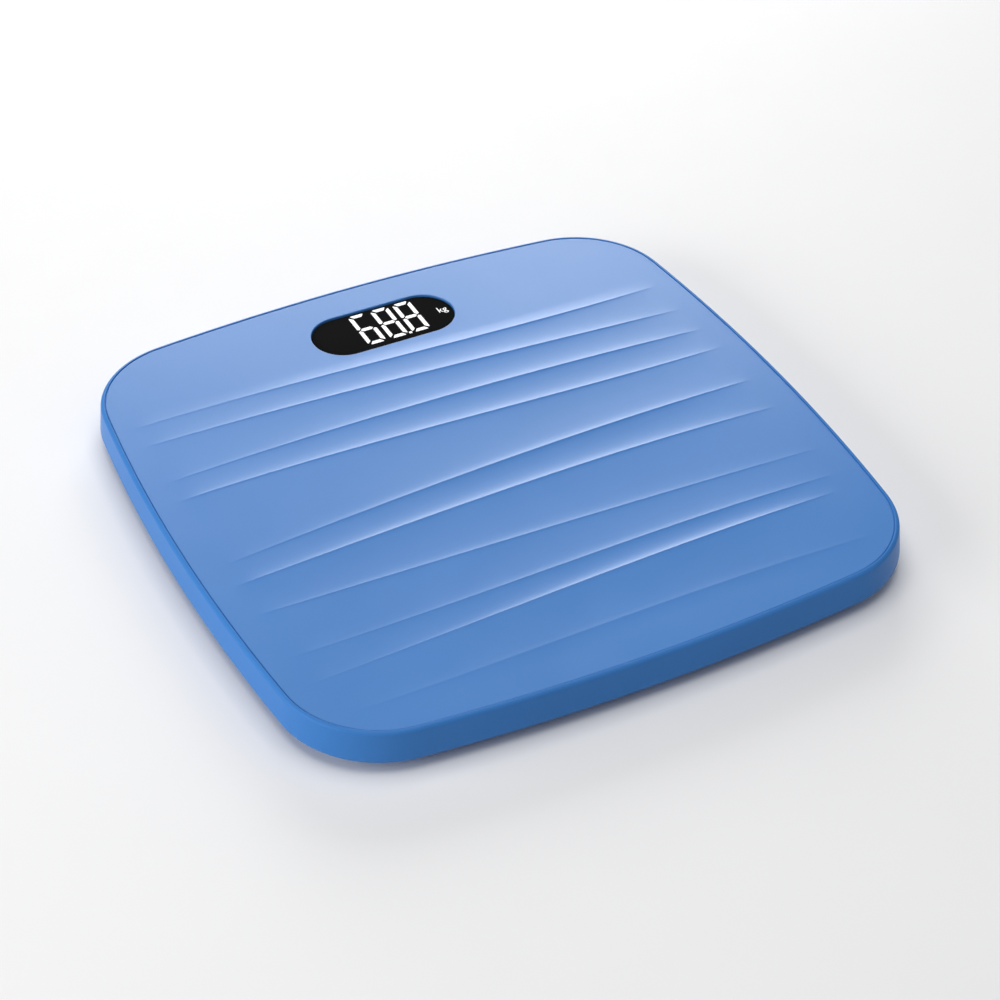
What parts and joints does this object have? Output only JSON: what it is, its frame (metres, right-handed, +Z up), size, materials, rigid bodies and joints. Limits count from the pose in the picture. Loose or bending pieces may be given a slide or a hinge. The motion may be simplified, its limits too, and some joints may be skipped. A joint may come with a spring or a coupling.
{
  "type": "digital weighing scale",
  "caption": "Low bowed-square body scale: wave-relief platform nested in a tray, oval display window, load-cell feet, unit button and hinged battery door underneath.",
  "frame": {"origin": "on the floor under the middle of the platform, at the centre of the bounding box's bottom", "axes": "+Z up, +X to the right of someone reading the display, +Y towards the edge that has the display"},
  "size_m": [0.3024, 0.3024, 0.0219],
  "materials": {
    "shell_plastic": "satin moulded, very fine spark texture",
    "foot_plastic": "satin moulded",
    "lens_acrylic": "polished, dark tinted",
    "display_black": "matte black",
    "component_black": "moulded epoxy",
    "circuit_board": "solder mask",
    "white_plastic": "moulded nylon",
    "button_plastic": "satin moulded",
    "battery_jacket": "printed film",
    "cable_jacket": "PVC",
    "plated_contact": "nickel plated",
    "screw_steel": "zinc plated",
    "housing_plastic": "moulded, glass filled",
    "pad_rubber": "moulded rubber",
    "cell_steel": "painted alloy steel",
    "gauge_sealant": "cured silicone",
    "label_film": "satin silver film, blank"
  },
  "bodies": {
    "body": {"base_tray": "shell_plastic", "battery_back": "battery_jacket", "battery_bridge": "plated_contact", "battery_front": "battery_jacket", "battery_lead_negative": "cable_jacket", "battery_lead_positive": "cable_jacket", "battery_spring_back": "plated_contact", "battery_spring_front": "plated_contact", "battery_terminal_negative": "plated_contact", "battery_terminal_positive": "plated_contact", "case_screw_1": "screw_steel", "case_screw_2": "screw_steel", "case_screw_3": "screw_steel", "case_screw_4": "screw_steel", "case_screw_5": "screw_steel", "case_screw_6": "screw_steel", "case_screw_7": "screw_steel", "case_screw_8": "screw_steel", "cell_housing_back_left": "housing_plastic", "cell_housing_back_right": "housing_plastic", "cell_housing_front_left": "housing_plastic", "cell_housing_front_right": "housing_plastic", "cell_lead_back_left": "cable_jacket", "cell_lead_back_right": "cable_jacket", "cell_lead_front_left": "cable_jacket", "cell_lead_front_right": "cable_jacket", "controller_chip": "component_black", "display_frame": "display_black", "display_lens": "lens_acrylic", "display_module": "display_black", "lead_connector": "white_plastic", "load_cell_back_left": "cell_steel", "load_cell_back_right": "cell_steel", "load_cell_front_left": "cell_steel", "load_cell_front_right": "cell_steel", "main_board": "circuit_board", "platform_panel": "shell_plastic", "rating_label": "label_film", "strain_gauge_back_left": "gauge_sealant", "strain_gauge_back_right": "gauge_sealant", "strain_gauge_front_left": "gauge_sealant", "strain_gauge_front_right": "gauge_sealant", "unit_switch": "component_black"},
    "foot_front_left": {"foot_cup_front_left": "foot_plastic", "foot_pad_front_left": "pad_rubber"},
    "foot_front_right": {"foot_cup_front_right": "foot_plastic", "foot_pad_front_right": "pad_rubber"},
    "foot_back_left": {"foot_cup_back_left": "foot_plastic", "foot_pad_back_left": "pad_rubber"},
    "foot_back_right": {"foot_cup_back_right": "foot_plastic", "foot_pad_back_right": "pad_rubber"},
    "unit_button": {"unit_button": "button_plastic", "switch_plunger": "white_plastic"},
    "battery_door": {"battery_door": "shell_plastic"}
  },
  "joints": [
    {"name": "foot_travel_front_left", "type": "slide", "parent": "body", "child": "foot_front_left", "axis": [0, 0, 1], "range_m": [0, 0.00025], "stiffness_N_per_m": 2000, "springref_m": -0.00125},
    {"name": "foot_travel_front_right", "type": "slide", "parent": "body", "child": "foot_front_right", "axis": [0, 0, 1], "range_m": [0, 0.00025], "stiffness_N_per_m": 2000, "springref_m": -0.00125},
    {"name": "foot_travel_back_left", "type": "slide", "parent": "body", "child": "foot_back_left", "axis": [0, 0, 1], "range_m": [0, 0.00025], "stiffness_N_per_m": 2000, "springref_m": -0.00125},
    {"name": "foot_travel_back_right", "type": "slide", "parent": "body", "child": "foot_back_right", "axis": [0, 0, 1], "range_m": [0, 0.00025], "stiffness_N_per_m": 2000, "springref_m": -0.00125},
    {"name": "unit_button_press", "type": "slide", "parent": "body", "child": "unit_button", "axis": [0, 0, 1], "range_m": [0, 0.0005], "stiffness_N_per_m": 3000},
    {"name": "battery_door_swing", "type": "hinge", "parent": "body", "child": "battery_door", "pos_m": [0, 0.0752, 0.0058], "axis": [1, 0, 0], "range_deg": [0, 85]}
  ]
}
